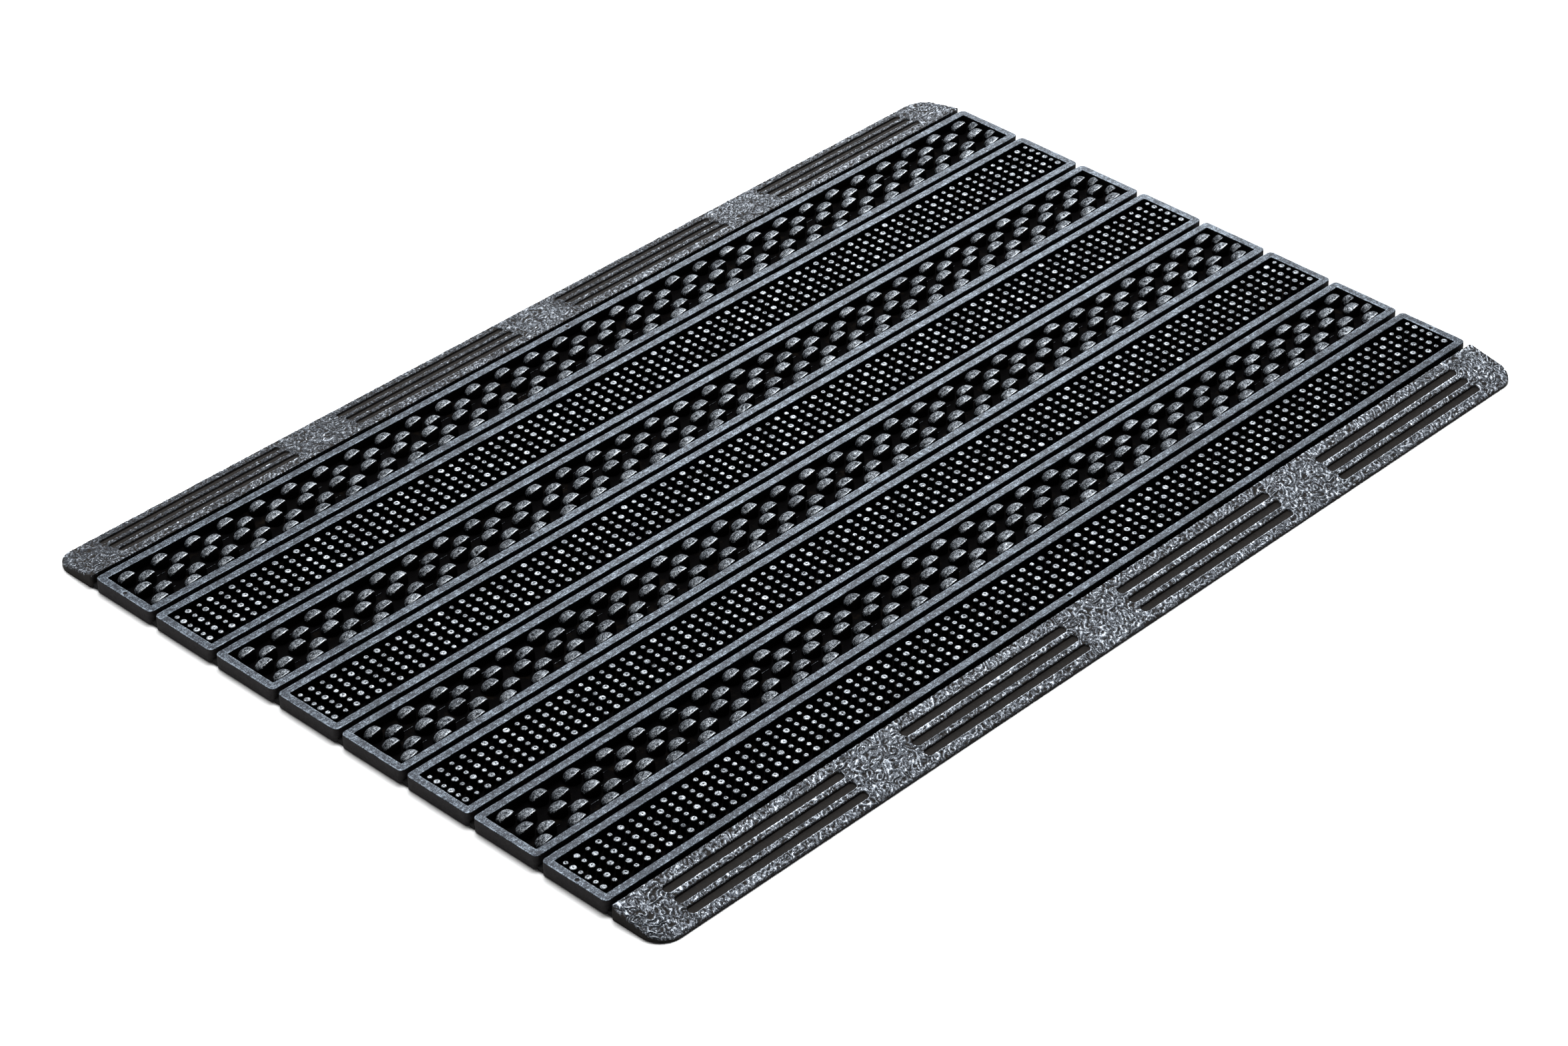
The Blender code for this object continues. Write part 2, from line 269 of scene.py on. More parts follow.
def rubber_material(name, silver_bright, silver_light, silver_dark, rubber_dark, rubber_light,
                    paint_gain=1.0, speckle=0.5, paint_metal=0.55, paint_rough=0.42,
                    grain=(1.0, 1.0, 1.0), bump=0.25, gloss=0.14, blotch=0.8, contrast=1.0, curl=0.0):
    """Black rubber under silver paint. The mesh's "paint" says how much paint a point carries, "light" lifts or drops
    the paint's tone as painted highlight and painted shade, and its third value takes the bare rubber from near-black
    painted shade with brownish dust spots (0, in the recesses) to the lighter scuffed rubber (1, outside)."""
    mat = bpy.data.materials.new(name)
    mat.use_nodes = True
    tree = mat.node_tree
    shader = tree.nodes["Principled BSDF"]
    coords = tree.nodes.new("ShaderNodeTexCoord").outputs["Object"]
    paint = _node(tree, "ShaderNodeAttribute", attribute_name="paint").outputs["Fac"]
    stretched = mapped(tree, coords, grain)

    fine = noise_node(tree, stretched, 2600.0, 3.0, 0.65)
    medium = noise_node(tree, stretched, 700.0, 3.0, 0.6)
    coarse = noise_node(tree, coords, 90.0, 2.0, 0.5)

    # paint breaks up where it is thin
    wear = math_node(tree, "MULTIPLY", math_node(tree, "SUBTRACT", fine, 0.5), 1.5 * speckle)
    wear = math_node(tree, "ADD", wear, math_node(tree, "MULTIPLY", math_node(tree, "SUBTRACT", medium, 0.5), blotch * speckle))
    wear = math_node(tree, "MULTIPLY", wear, math_node(tree, "MULTIPLY", paint, 4.0, clamp=True))
    amount = math_node(tree, "ADD", math_node(tree, "MULTIPLY", paint, paint_gain), wear)
    if curl:
        # thin curly lines: the bright ones are a painted highlight on lit crease facets, the dark ones take the paint
        # off along thin cracks
        curl_lines = [math_node(tree, "SUBTRACT", 1.0, math_node(tree, "MULTIPLY", math_node(tree, "ABSOLUTE", math_node(
            tree, "SUBTRACT", noise_node(tree, mapped(tree, coords, (k, k, 1.0)), 270.0, 1.0, 0.5, 1.8), 0.5)), 48.0), clamp=True)
            for k in (1.0, 1.13)]
        amount = math_node(tree, "SUBTRACT", amount, math_node(tree, "MULTIPLY", curl_lines[1], 0.75 * curl))
    mask = ramp(tree, amount, [(0.30, (0, 0, 0)), (0.62, (1, 1, 1))]).outputs["Color"]

    tone = math_node(tree, "ADD", math_node(tree, "MULTIPLY", fine, 0.68), math_node(tree, "MULTIPLY", medium, 0.32))
    if contrast != 1.0:
        tone = math_node(tree, "ADD", math_node(tree, "MULTIPLY", math_node(tree, "SUBTRACT", tone, 0.5), contrast), 0.5)
    light = _node(tree, "ShaderNodeAttribute", attribute_name="light").outputs["Fac"]
    if curl:
        # the bright curly lines lift the paint's tone as a painted highlight
        light = math_node(tree, "ADD", light, math_node(tree, "MULTIPLY", curl_lines[0], 0.8 * curl))
    # the light value brightens or darkens the paint's tone: painted highlight and painted shade
    tone = math_node(tree, "ADD", tone, math_node(tree, "MULTIPLY", math_node(tree, "SUBTRACT", light, 0.5), 0.46))
    silver = ramp(tree, tone, [(0.34, silver_dark), (0.56, silver_light), (0.74, silver_bright)]).outputs["Color"]
    broad = ramp(tree, coarse, [(0.3, (0.78, 0.78, 0.79)), (0.7, (1.12, 1.12, 1.12))]).outputs["Color"]
    silver = mix_colour(tree, 1.0, silver, broad, "MULTIPLY")
    # where this value is near 0 (recess floors, inner walls, webs, the unpainted sides of studs and pins) the rubber is
    # near-black painted shade with brownish dust spots; near 1 it is the lighter scuffed rubber
    bare = _node(tree, "ShaderNodeAttribute", attribute_name="bare").outputs["Fac"]
    scuffed = ramp(tree, medium, [(0.3, rubber_dark), (0.75, rubber_light)]).outputs["Color"]
    dust_and_shade = ramp(tree, noise_node(tree, coords, 150.0, 4.0, 0.7), [(0.56, BLACK), (0.80, DUSTY)]).outputs["Color"]
    rubber = mix_colour(tree, bare, dust_and_shade, scuffed)
    colour = mix_colour(tree, mask, rubber, silver)
    tree.links.new(colour, shader.inputs["Base Color"])

    metal = math_node(tree, "MULTIPLY", mask, paint_metal)
    tree.links.new(metal, shader.inputs["Metallic"])
    rough_rubber = math_node(tree, "ADD", math_node(tree, "MULTIPLY", medium, 0.18), 0.62)
    rough_paint = math_node(tree, "ADD", math_node(tree, "MULTIPLY", fine, 0.22), paint_rough - 0.11)
    mix = tree.nodes.new("ShaderNodeMix")
    mix.data_type = "FLOAT"
    tree.links.new(mask, mix.inputs["Factor"])
    tree.links.new(rough_rubber, mix.inputs["A"])
    tree.links.new(rough_paint, mix.inputs["B"])
    tree.links.new(mix.outputs["Result"], shader.inputs["Roughness"])
    shader.inputs["Specular IOR Level"].default_value = gloss

    height = math_node(tree, "ADD", math_node(tree, "MULTIPLY", fine, 0.4), math_node(tree, "MULTIPLY", medium, 0.6))
    b = _node(tree, "ShaderNodeBump")
    b.inputs["Strength"].default_value = bump
    b.inputs["Distance"].default_value = 0.00025
    tree.links.new(height, b.inputs["Height"])
    tree.links.new(b.outputs["Normal"], shader.inputs["Normal"])
    return mat


RUBBER_DARK, RUBBER_LIGHT = (0.0096, 0.0087, 0.0093), (0.0207, 0.0189, 0.0196)
BLACK, DUSTY = (0.0012, 0.0011, 0.0012), (0.0060, 0.0044, 0.0032)
rim_mat = rubber_material("rim_rubber", (0.200, 0.234, 0.274), (0.074, 0.089, 0.108), (0.015, 0.018, 0.024),
                          RUBBER_DARK, RUBBER_LIGHT, speckle=0.70, grain=(0.65, 1.0, 1.0), bump=0.6,
                          paint_metal=0.45, paint_rough=0.42, gloss=0.08, blotch=0.9, contrast=2.6)
tread_mat = rubber_material("tread_rubber", (0.57, 0.61, 0.65), (0.140, 0.154, 0.172), (0.018, 0.021, 0.025),
                            RUBBER_DARK, RUBBER_LIGHT, speckle=0.9, paint_rough=0.40, bump=0.9,
                            paint_metal=0.40, gloss=0.004, blotch=1.5, contrast=1.8, curl=0.35)
border_mat = rubber_material("border_rubber", (0.45, 0.485, 0.535), (0.117, 0.131, 0.150), (0.025, 0.028, 0.034),
                             (0.0071, 0.0061, 0.0056), (0.0161, 0.0137, 0.0123),
                             speckle=0.25, paint_rough=0.38, bump=0.22,
                             paint_metal=0.45, gloss=0.07, blotch=0.9, contrast=0.7, curl=1.0)
web_mat = rubber_material("web_rubber", (0.3, 0.3, 0.3), (0.3, 0.3, 0.3), (0.2, 0.2, 0.2),
                          (0.0043, 0.0039, 0.0037), (0.0100, 0.0086, 0.0079), bump=0.4)

# ---------------------------------------------------------------- who is where
record = frame["record"]
groups = record["behaviour"]["bodies"]
body_of = {n: b for b, nodes in groups.items() for n in nodes}
pieces = []


def place(ob, *nodes, slot=None):
    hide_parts(*nodes)
    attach(ob, body_of[nodes[0]])
    pieces.append(ob)
    return ob


# ---------------------------------------------------------------- panel frames
def rim_stations(step=2.5, nc=6):
    """Matching points round the outer and inner outline of a rim, with the outward normal."""
    wo, wi = PANEL_W / 2, PANEL_W / 2 - RIM
    lo, li = HALF, HALF - RIM
    ro, ri = CORNER_R, 0.5
    outer, inner, normal = [], [], []

    def along(length):
        # even steps, closer together at the middle where the vent marks can sit
        m = int(length / step)
        t = np.concatenate([np.arange(1, m) / m, 0.5 + np.arange(-2.1, 2.11, 0.35) / length])
        t = np.sort(t[(t > 0) & (t < 1)])
        return [t[0]] + [b for a, b in zip(t[:-1], t[1:]) if (b - a) * length > 0.08]

    for k, (cx, cy) in enumerate(((1, 1), (-1, 1), (-1, -1), (1, -1))):
        for i in range(nc + 1):
            a = math.radians(90 * k + 90 * i / nc)
            n = (math.cos(a), math.sin(a))
            outer.append((cx * (lo - ro) + ro * n[0], cy * (wo - ro) + ro * n[1]))
            inner.append((cx * (li - ri) + ri * n[0], cy * (wi - ri) + ri * n[1]))
            normal.append(n)
        n = normal[-1]
        nx, ny = (-1, 1) if k == 0 else (-1, -1) if k == 1 else (1, -1) if k == 2 else (1, 1)
        if k in (0, 2):
            o0, o1 = outer[-1][0], nx * (lo - ro)
            i0, i1 = inner[-1][0], nx * (li - ri)
            for t in along(abs(o1 - o0)):
                outer.append((o0 + (o1 - o0) * t, outer[-1][1]))
                inner.append((i0 + (i1 - i0) * t, inner[-1][1]))
                normal.append(n)
        else:
            o0, o1 = outer[-1][1], ny * (wo - ro)
            i0, i1 = inner[-1][1], ny * (wi - ri)
            for t in along(abs(o1 - o0)):
                outer.append((outer[-1][0], o0 + (o1 - o0) * t))
                inner.append((inner[-1][0], i0 + (i1 - i0) * t))
                normal.append(n)
    return np.array(outer), np.array(inner), np.array(normal)


# The light column lifts the paint on the rounded top edges as a painted highlight; the fourth column is 1 on the outer
# wall and top and 0 on the inner wall, whose rubber goes near-black as painted shade.
RIM_PROFILE = [  # (mm in from the outer wall, z, paint, bare, light)
    (0.30, 0.00, 0.0, 1.0, 0.5), (0.05, 0.25, 0.0, 1.0, 0.5), (0.0, 1.6, 0.0, 1.0, 0.5), (0.0, 3.6, 0.0, 1.0, 0.5),
    (0.0, 5.4, 0.0, 1.0, 0.5), (0.0, 6.6, 0.0, 1.0, 0.5), (0.015, 7.12, 0.10, 1.0, 0.5), (0.07, 7.32, 0.55, 1.0, 0.6),
    (0.18, 7.44, 1.0, 1.0, 0.75), (0.42, 7.49, 0.95, 1.0, 0.66), (0.8, 7.50, 0.84, 1.0, 0.44), (1.2, 7.50, 0.82, 1.0, 0.42),
    (1.6, 7.50, 0.80, 1.0, 0.42), (2.1, 7.50, 0.78, 1.0, 0.42), (2.6, 7.50, 0.80, 1.0, 0.42), (3.0, 7.50, 0.82, 1.0, 0.42),
    (3.4, 7.50, 0.84, 1.0, 0.46), (3.78, 7.49, 0.92, 1.0, 0.62), (4.02, 7.44, 0.9, 0.5, 0.72), (4.13, 7.33, 0.35, 0.2, 0.6),
    (4.19, 7.12, 0.0, 0.0, 0.5), (4.2, 6.6, 0.0, 0.0, 0.5), (4.2, 4.6, 0.0, 0.0, 0.5), (4.2, 2.0, 0.0, 0.0, 0.5),
    (4.2, 0.05, 0.0, 0.0, 0.5), (3.9, 0.0, 0.0, 0.0, 0.5),
]
# torn-off moulding vents: (x, y from the panel's middle) of the small craters in a rim
VENTS = {1: [(-297.9, 0.6), (0.4, 17.65)], 8: [(-297.9, -0.4), (-0.5, -17.65), (297.9, 0.3)]}


def build_frame(k):
    outer, inner, normal = rim_stations()
    lo, hi = node_box("panel_frame_%d" % k)
    mid_y = (lo[1] + hi[1]) / 2
    n = len(outer)
    b = Build()
    rings = []
    sx, sy = outer[:, 0], outer[:, 1] + 100.0 * k
    for e, z, paint, bare, light in RIM_PROFILE:
        t = e / RIM
        p = outer * (1 - t) + inner * t
        if z > 6.0:
            # the edges are a little uneven, and the top is not quite flat
            wob = 0.10 * perlin(sx / 9.0, sy / 9.0, 3) + 0.07 * perlin(sx / 2.6, sy / 2.6, 5)
            side = -1.0 if e > RIM / 2 else 1.0
            edge = 1.0 - min(e, RIM - e) / (RIM / 2)
            p = p + normal * (wob * side * edge)[:, None]
            dz = 0.05 * perlin(p[:, 0] / 14.0, (p[:, 1] + 100 * k) / 14.0, 7) * (1 if z > 7.2 else 0)
            zz = z + dz - 0.03
        else:
            zz = np.full(n, z)
        tone = paint * (1.0 + 0.14 * fbm(p[:, 0] / 11.0, (p[:, 1] + 60 * k) / 11.0, 11))
        shine = light + 0.16 * fbm(p[:, 0] / 7.0, (p[:, 1] + 60 * k) / 7.0, 13)
        # painted light falloff: the middle panels and their right ends are made brighter than the rest
        lit_gradient = 0.86 - 0.28 * ((k - 4.0) / 4.0) ** 2 + 0.13 * p[:, 0] / HALF * min(1.0, (k - 1) / 3.0)
        shine = shine - 0.47 * (1.0 - lit_gradient)
        if 0.0 < e < 0.6 and z > 7.2:
            # painted highlight: the outer top edge of the ends is made bright in places
            shine = shine + 0.45 * np.abs(normal[:, 0]) * smoothstep(-0.1, 0.25, perlin(sx / 3.0, sy / 3.0, 19))
        for vx, vy in VENTS.get(k, ()) if z > 7.2 else ():
            d = np.hypot(p[:, 0] - vx, p[:, 1] - vy) + 0.22 * perlin(p[:, 0] / 0.7, p[:, 1] / 0.7, 23)
            zz = zz - 0.60 * smoothstep(1.25, 0.55, d) + 0.03 * np.exp(-((d - 1.35) / 0.3) ** 2)
            tone = tone * (1 - 0.95 * smoothstep(1.25, 0.85, d))
            # a painted highlight ring round each crater
            shine = shine + 0.5 * np.exp(-((d - 1.4) / 0.28) ** 2)
        ring = np.column_stack([p[:, 0], p[:, 1] + mid_y, zz])
        rings.append(b.add(ring, tone, bare, shine))
    m = len(rings)
    b.quads(grid_quads(m, n, 0, wrap_cols=True, flip=False))
    last = (m - 1) * n
    c = np.arange(n)
    c2 = (c + 1) % n
    b.quads(np.stack([last + c, last + c2, c2, c], -1))
    ob = b.object("rim_%d" % k, rim_mat, 45)
    return place(ob, "panel_frame_%d" % k, slot="silver_rubber")


# ---------------------------------------------------------------- treads
def floor_with_holes(b, x0, x1, y0, y1, holes, seed, spacing):
    """A floor plate whose top is open under each hole ring. holes: list of (indices, xy)."""
    rng = np.random.default_rng(seed)
    xs = np.linspace(x0, x1, int((x1 - x0) / spacing) + 1)
    ys = np.linspace(y0, y1, max(3, int((y1 - y0) / spacing) + 1))
    gx, gy = np.meshgrid(xs, ys)
    pts = np.column_stack([gx.reshape(-1), gy.reshape(-1)])
    edge = (pts[:, 0] <= x0 + 1e-6) | (pts[:, 0] >= x1 - 1e-6) | (pts[:, 1] <= y0 + 1e-6) | (pts[:, 1] >= y1 - 1e-6)
    jitter = rng.uniform(-0.25, 0.25, pts.shape) * spacing
    pts[~edge] += jitter[~edge]
    keep = np.ones(len(pts), bool)
    centres = np.array([h[2] for h in holes])
    radii = np.array([h[3] for h in holes])
    order = np.argsort(centres[:, 0])
    cs, rs = centres[order], radii[order]
    rmax = rs.max() + 0.35
    for i in np.where(~edge)[0]:
        lo = np.searchsorted(cs[:, 0], pts[i, 0] - rmax)
        hi = np.searchsorted(cs[:, 0], pts[i, 0] + rmax)
        if hi > lo:
            d = np.hypot(cs[lo:hi, 0] - pts[i, 0], cs[lo:hi, 1] - pts[i, 1])
            if (d < rs[lo:hi] + 0.3).any():
                keep[i] = False
    grid_pts = pts[keep]
    edge = edge[keep]
    verts = [Vector(p) for p in grid_pts]
    owner = [-1] * len(verts)
    index = []
    edges = []
    gz = FLOOR + 0.06 * perlin(grid_pts[:, 0] / 6.0, grid_pts[:, 1] / 6.0, seed)
    # the tread floor's rubber is left near-black: painted shade between the studs and pins
    start = b.add(np.column_stack([grid_pts, gz]), 0.0)
    index.extend(range(start, start + len(grid_pts)))
    for h, (ids, xy, _, _) in enumerate(holes):
        base = len(verts)
        m = len(ids)
        verts.extend(Vector(p) for p in xy)
        owner.extend([h] * m)
        index.extend(ids)
        edges.extend((base + i, base + (i + 1) % m) for i in range(m))
    out = delaunay_2d_cdt(verts, edges, [], 0, 1e-7, True)
    ov, of, orig = out[0], out[2], out[3]
    remap = [o[0] if o else None for o in orig]
    tri = []
    for f in of:
        ids = [remap[v] for v in f]
        if None in ids:
            continue
        own = {owner[i] for i in ids}
        if len(own) == 1 and -1 not in own:
            continue
        tri.append([index[i] for i in ids])
    tri = np.array(tri)
    # all facing up
    P = np.concatenate(b.points)
    a, c, d = P[tri[:, 0]], P[tri[:, 1]], P[tri[:, 2]]
    area = (c[:, 0] - a[:, 0]) * (d[:, 1] - a[:, 1]) - (c[:, 1] - a[:, 1]) * (d[:, 0] - a[:, 0])
    tri[area < 0] = tri[area < 0][:, ::-1]
    b.tris(tri)
    # sides and underside of the plate, along the grid's own edge points
    ring = []
    gp = [(grid_pts[i], start + i) for i in np.where(edge)[0]]
    bottom = sorted([g for g in gp if abs(g[0][1] - y0) < 1e-6], key=lambda g: g[0][0])
    right = sorted([g for g in gp if abs(g[0][0] - x1) < 1e-6 and y0 + 1e-6 < g[0][1] < y1 - 1e-6], key=lambda g: g[0][1])
    top = sorted([g for g in gp if abs(g[0][1] - y1) < 1e-6], key=lambda g: -g[0][0])
    left = sorted([g for g in gp if abs(g[0][0] - x0) < 1e-6 and y0 + 1e-6 < g[0][1] < y1 - 1e-6], key=lambda g: -g[0][1])
    ring = bottom + right + top + left
    low = b.add([(g[0][0], g[0][1], 0.02) for g in ring], 0.0, 1.0)
    m = len(ring)
    up = np.array([g[1] for g in ring])
    c = np.arange(m)
    c2 = (c + 1) % m
    b.quads(np.stack([low + c, low + c2, up[c2], up[c]], -1))
    b.poly((low + c)[::-1])


STUD_N = 32
STUD_CROWN = 7.95
STUD_RINGS = np.array([1.0, 0.985, 0.96, 0.925, 0.88, 0.82, 0.75, 0.67, 0.59, 0.51, 0.43, 0.35, 0.27, 0.20, 0.13, 0.06])
# The plane lies along the shading edge of a light from the far side, so the stud's black near side is partly unpainted
# rubber and partly painted shade.
FACE = (-0.116, 0.765, 0.633, 0.90)  # plane that parts the painted far side from the black near side


def stud(b, cx, cy, rng, rx=4.5, ry=4.45):
    """One tread stud: a rubber dome leaning to the near right, painted on its far side up to a small raised lip, with a
    painted highlight along the lip and on the cap's left end and painted shade low on the dome.
    """
    crown = STUD_CROWN + rng.uniform(-0.12, 0.05)
    turn = math.radians(rng.uniform(-4, 4))
    grow = rng.uniform(0.98, 1.02)
    seed = int(rng.integers(1, 10000))
    a = np.arange(STUD_N) / STUD_N * 2 * np.pi
    ux, uy = np.cos(a), np.sin(a)
    ct, st = math.cos(turn), math.sin(turn)
    cut = FACE[3] + rng.uniform(-0.12, 0.12)
    lean = rng.uniform(0.9, 1.1) * rx / 4.5
    dish = rng.uniform(0.10, 0.22)
    polish = rng.uniform(-0.12, 0.12)

    def at(s):
        x = rx * grow * s * ux + 1.15 * lean * (1 - s * s)
        y = ry * grow * s * uy - 1.25 * lean * (1 - s * s)
        z = FLOOR + (crown - FLOOR) * np.sqrt(np.maximum(1 - s ** 2.3, 0.0)) + 0 * ux
        u = FACE[0] * x + FACE[1] * y + FACE[2] * (z - FLOOR) - cut
        high = smoothstep(FLOOR + 3.4, FLOOR + 4.6, z)
        # a small raised lip along the edge of the paint, a shallow dish with scratches behind it
        z = z + high * (0.14 * np.exp(-((u - 0.22) / 0.26) ** 2) - dish * smoothstep(0.45, 1.1, u) * smoothstep(3.0, 2.0, u)
                        + 0.08 * smoothstep(0.3, 0.7, u) * perlin(x / 0.8 + seed, y / 0.8, 3))
        return x, y, z, u, high

    rows = []
    for s in STUD_RINGS:
        x, y, z, u, high = at(s)
        if s == 1.0:
            z = np.full(STUD_N, FLOOR)
        up = z - FLOOR
        face = smoothstep(-0.06, 0.20, u)
        lip = np.exp(-((u - 0.26) / 0.25) ** 2) * smoothstep(-2.6, -1.2, x)
        blob = np.exp(-((x + 2.5) / 0.9) ** 2 - ((u - 0.65) / 0.6) ** 2)
        paint = face * (0.36 + 0.28 * smoothstep(0.9, 3.0, up)) * smoothstep(0.4, 2.2, up)
        paint = np.maximum(paint, face * np.maximum(lip, 0.9 * blob) * smoothstep(0.8, 2.0, up))
        # painted highlight along the lip and on the cap's left end, painted shade low on the dome
        light = 0.36 + polish * 0.5 + 0.72 * lip + 0.50 * blob - 0.30 * smoothstep(3.2, 1.4, up)
        rows.append(b.add(np.column_stack([cx + x * ct - y * st, cy + x * st + y * ct, z]), paint, 0.0, light))
    x, y, z, u, high = at(0.0)
    centre = b.add([(cx + x[0] * ct - y[0] * st, cy + x[0] * st + y[0] * ct, z[0])], 0.72, 0.0, 0.45)
    b.quads(grid_quads(len(rows), STUD_N, rows[0], wrap_cols=True))
    c = np.arange(STUD_N)
    b.tris(np.stack([rows[-1] + c, rows[-1] + (c + 1) % STUD_N, np.full(STUD_N, centre)], -1))
    X = rx * grow * ux
    Y = ry * grow * uy
    return (list(range(rows[0], rows[0] + STUD_N)),
            np.column_stack([cx + X * ct - Y * st, cy + X * st + Y * ct]), (cx, cy), max(rx, ry) * grow)


def flash_line(b, x0, y0, length, rise):
    """A thin raised moulding line on the tread's floor, running along x; a closed strip let into the floor."""
    w = 0.13
    z0, z1 = FLOOR - 0.5, FLOOR + rise
    xs = (x0, x0 + length)
    ids = b.add([(x, y0 + dy, z) for x in xs for dy, z in ((-w, z0), (w, z0), (w * 0.6, z1), (-w * 0.6, z1))],
                [0.0, 0.0, 0.55, 0.55] * 2, 0.0, 0.2)
    q = np.array([(0, 3, 2, 1), (4, 5, 6, 7), (0, 1, 5, 4), (1, 2, 6, 5), (2, 3, 7, 6), (3, 0, 4, 7)])
    b.quads(q[:, ::-1] + ids)


def pin(b, cx, cy, rng, large):
    n = 16 if large else 14
    r0 = (1.66 if large else 1.24) * rng.uniform(0.96, 1.04)
    top = 7.34 + rng.uniform(-0.06, 0.04) - (0.0 if large else 0.05)
    a = (np.arange(n) + rng.uniform(0, 1)) / n * 2 * np.pi
    ux, uy = np.cos(a), np.sin(a)
    profile = [(1.12, FLOOR, 0.0), (1.04, FLOOR + 0.5, 0.0), (1.0, 4.6, 0.0), (0.97, top - 0.95, 0.0),
               (0.955, top - 0.55, 0.12), (0.90, top - 0.26, 0.9), (0.78, top - 0.09, 1.0),
               (0.55, top - 0.01, 0.95), (0.26, top - 0.05, 0.60)]
    rows = []
    polish = rng.uniform(-0.12, 0.16)
    uneven = rng.uniform(-0.22, 0.22, n)
    for f, z, paint in profile:
        # painted highlight round the rounded top edge, brighter on the near side
        ring = smoothstep(0.5, 0.8, f)
        light = 0.50 + polish + ring * (0.22 - 0.14 * uy + uneven)
        rows.append(b.add(np.column_stack([cx + r0 * f * ux, cy + r0 * f * uy, np.full(n, z)]), paint * 0.95, 0.0, light))
    ox, oy = rng.uniform(-0.2, 0.2, 2) * r0 * 0.5
    centre = b.add([(cx + ox, cy + oy, top - 0.16)], rng.uniform(-0.1, 0.35), 0.0, 0.2)
    b.quads(grid_quads(len(rows), n, rows[0], wrap_cols=True))
    c = np.arange(n)
    b.tris(np.stack([rows[-1] + c, rows[-1] + (c + 1) % n, np.full(n, centre)], -1))
    f = profile[0][0]
    return (list(range(rows[0], rows[0] + n)), np.column_stack([cx + r0 * f * ux, cy + r0 * f * uy]), (cx, cy), r0 * f)


def build_stud_tread(k):
    lo, hi = node_box("stud_tread_%d" % k)
    mid = (lo[1] + hi[1]) / 2
    rng = np.random.default_rng(100 + k)
    b = Build()
    holes = []
    for row in range(5):
        y = mid + (2 - row) * 6.0
        off = 12.15 + (7.2 if row % 2 else 0.0)
        for i in range(30 if row % 2 == 0 else 29):
            x = -HALF + off + 19.85 * i
            holes.append(stud(b, x, y, rng))
            if rng.random() < 0.45 and x < HALF - 25:
                flash_line(b, x + 3.6, y - 0.4 + rng.uniform(-0.2, 0.2), rng.uniform(3.5, 7.5), rng.uniform(0.15, 0.35))
        if row % 2:
            # the last one of these rows is squeezed against the end rim
            holes.append(stud(b, 292.9, y, rng, rx=2.45, ry=3.5))
    wx, wy = HALF - RIM + 0.15, PANEL_W / 2 - RIM + 2.6
    floor_with_holes(b, -wx, wx, mid - wy, mid + wy, holes, 200 + k, 3.2)
    ob = b.object("studs_%d" % k, tread_mat, 38)
    return place(ob, "stud_tread_%d" % k, slot="black_rubber")


def build_pin_tread(k):
    lo, hi = node_box("pin_tread_%d" % k)
    mid = (lo[1] + hi[1]) / 2
    rng = np.random.default_rng(300 + k)
    b = Build()
    holes = []
    for row in range(6):
        y = mid + (2.5 - row) * 4.55
        for i in range(91):
            x = -HALF + 6.75 + 6.517 * i
            large = (row + i) % 2 == 1
            holes.append(pin(b, x, y, rng, large))
    wx, wy = HALF - RIM + 0.15, PANEL_W / 2 - RIM + 0.15
    floor_with_holes(b, -wx, wx, mid - wy, mid + wy, holes, 400 + k, 2.6)
    ob = b.object("pins_%d" % k, tread_mat, 40)
    return place(ob, "pin_tread_%d" % k, slot="black_rubber")


# ---------------------------------------------------------------- hinge webs
def build_web(k):
    node = "hinge_web_%d" % k
    lo, hi = node_box(node)
    mid = (lo[1] + hi[1]) / 2
    wide = CHANNEL / 2 + 0.12
    xs = np.linspace(-HALF + 1.0, HALF - 1.0, 160)
    ys = np.linspace(wide, -wide, 11)
    b = Build()
    n = len(xs)
    gx, gy = np.meshgrid(xs, ys)
    sag = 0.22 * (1 - (gy / wide) ** 2)
    z = FLOOR - 0.02 - sag + 0.07 * perlin(gx / 5.0, gy / 2.0, 40 + k)
    top = b.add(np.column_stack([gx.reshape(-1), gy.reshape(-1) + mid, z.reshape(-1)]), 0.0)
    bot = b.add(np.column_stack([gx.reshape(-1), gy.reshape(-1) + mid, np.full(gx.size, 0.03)]), 0.0, 1.0)
    m = len(ys)
    b.quads(grid_quads(m, n, top, flip=True))
    b.quads(grid_quads(m, n, bot, flip=False))
    T = top + np.arange(m * n).reshape(m, n)
    B = bot + np.arange(m * n).reshape(m, n)
    for tt, bb in ((T[0], B[0]), (T[-1][::-1], B[-1][::-1]), (T[:, -1], B[:, -1]), (T[:, 0][::-1], B[:, 0][::-1])):
        b.quads(np.stack([tt[:-1], tt[1:], bb[1:], bb[:-1]], -1))
    ob = b.object("web_%d" % k, web_mat, 40)
    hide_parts(node)
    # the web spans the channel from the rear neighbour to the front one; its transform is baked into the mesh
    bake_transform(ob)
    pieces.append(ob)
    return ob


# ---------------------------------------------------------------- ramp borders
SLOT_CX = [(g - 1.5) * 147.7 for g in range(4)]
SLOT_Y = [8.0, 15.2, 22.4]
SLOT_LEN, SLOT_W, SLOT_DEPTH = 110.0, 4.2, 1.2
SLOPE = (TOP - BORDER_OUT_Z) / BORDER_W


def slot_distance(x, y):
    """Signed distance to the nearest slot's edge, negative inside."""
    best = np.full(np.broadcast(x, y).shape, 1e9)
    half = SLOT_LEN / 2 - SLOT_W / 2
    for cx in SLOT_CX:
        for cy in SLOT_Y:
            dx = np.maximum(np.abs(x - cx) - half, 0.0)
            best = np.minimum(best, np.hypot(dx, y - cy) - SLOT_W / 2)
    return best


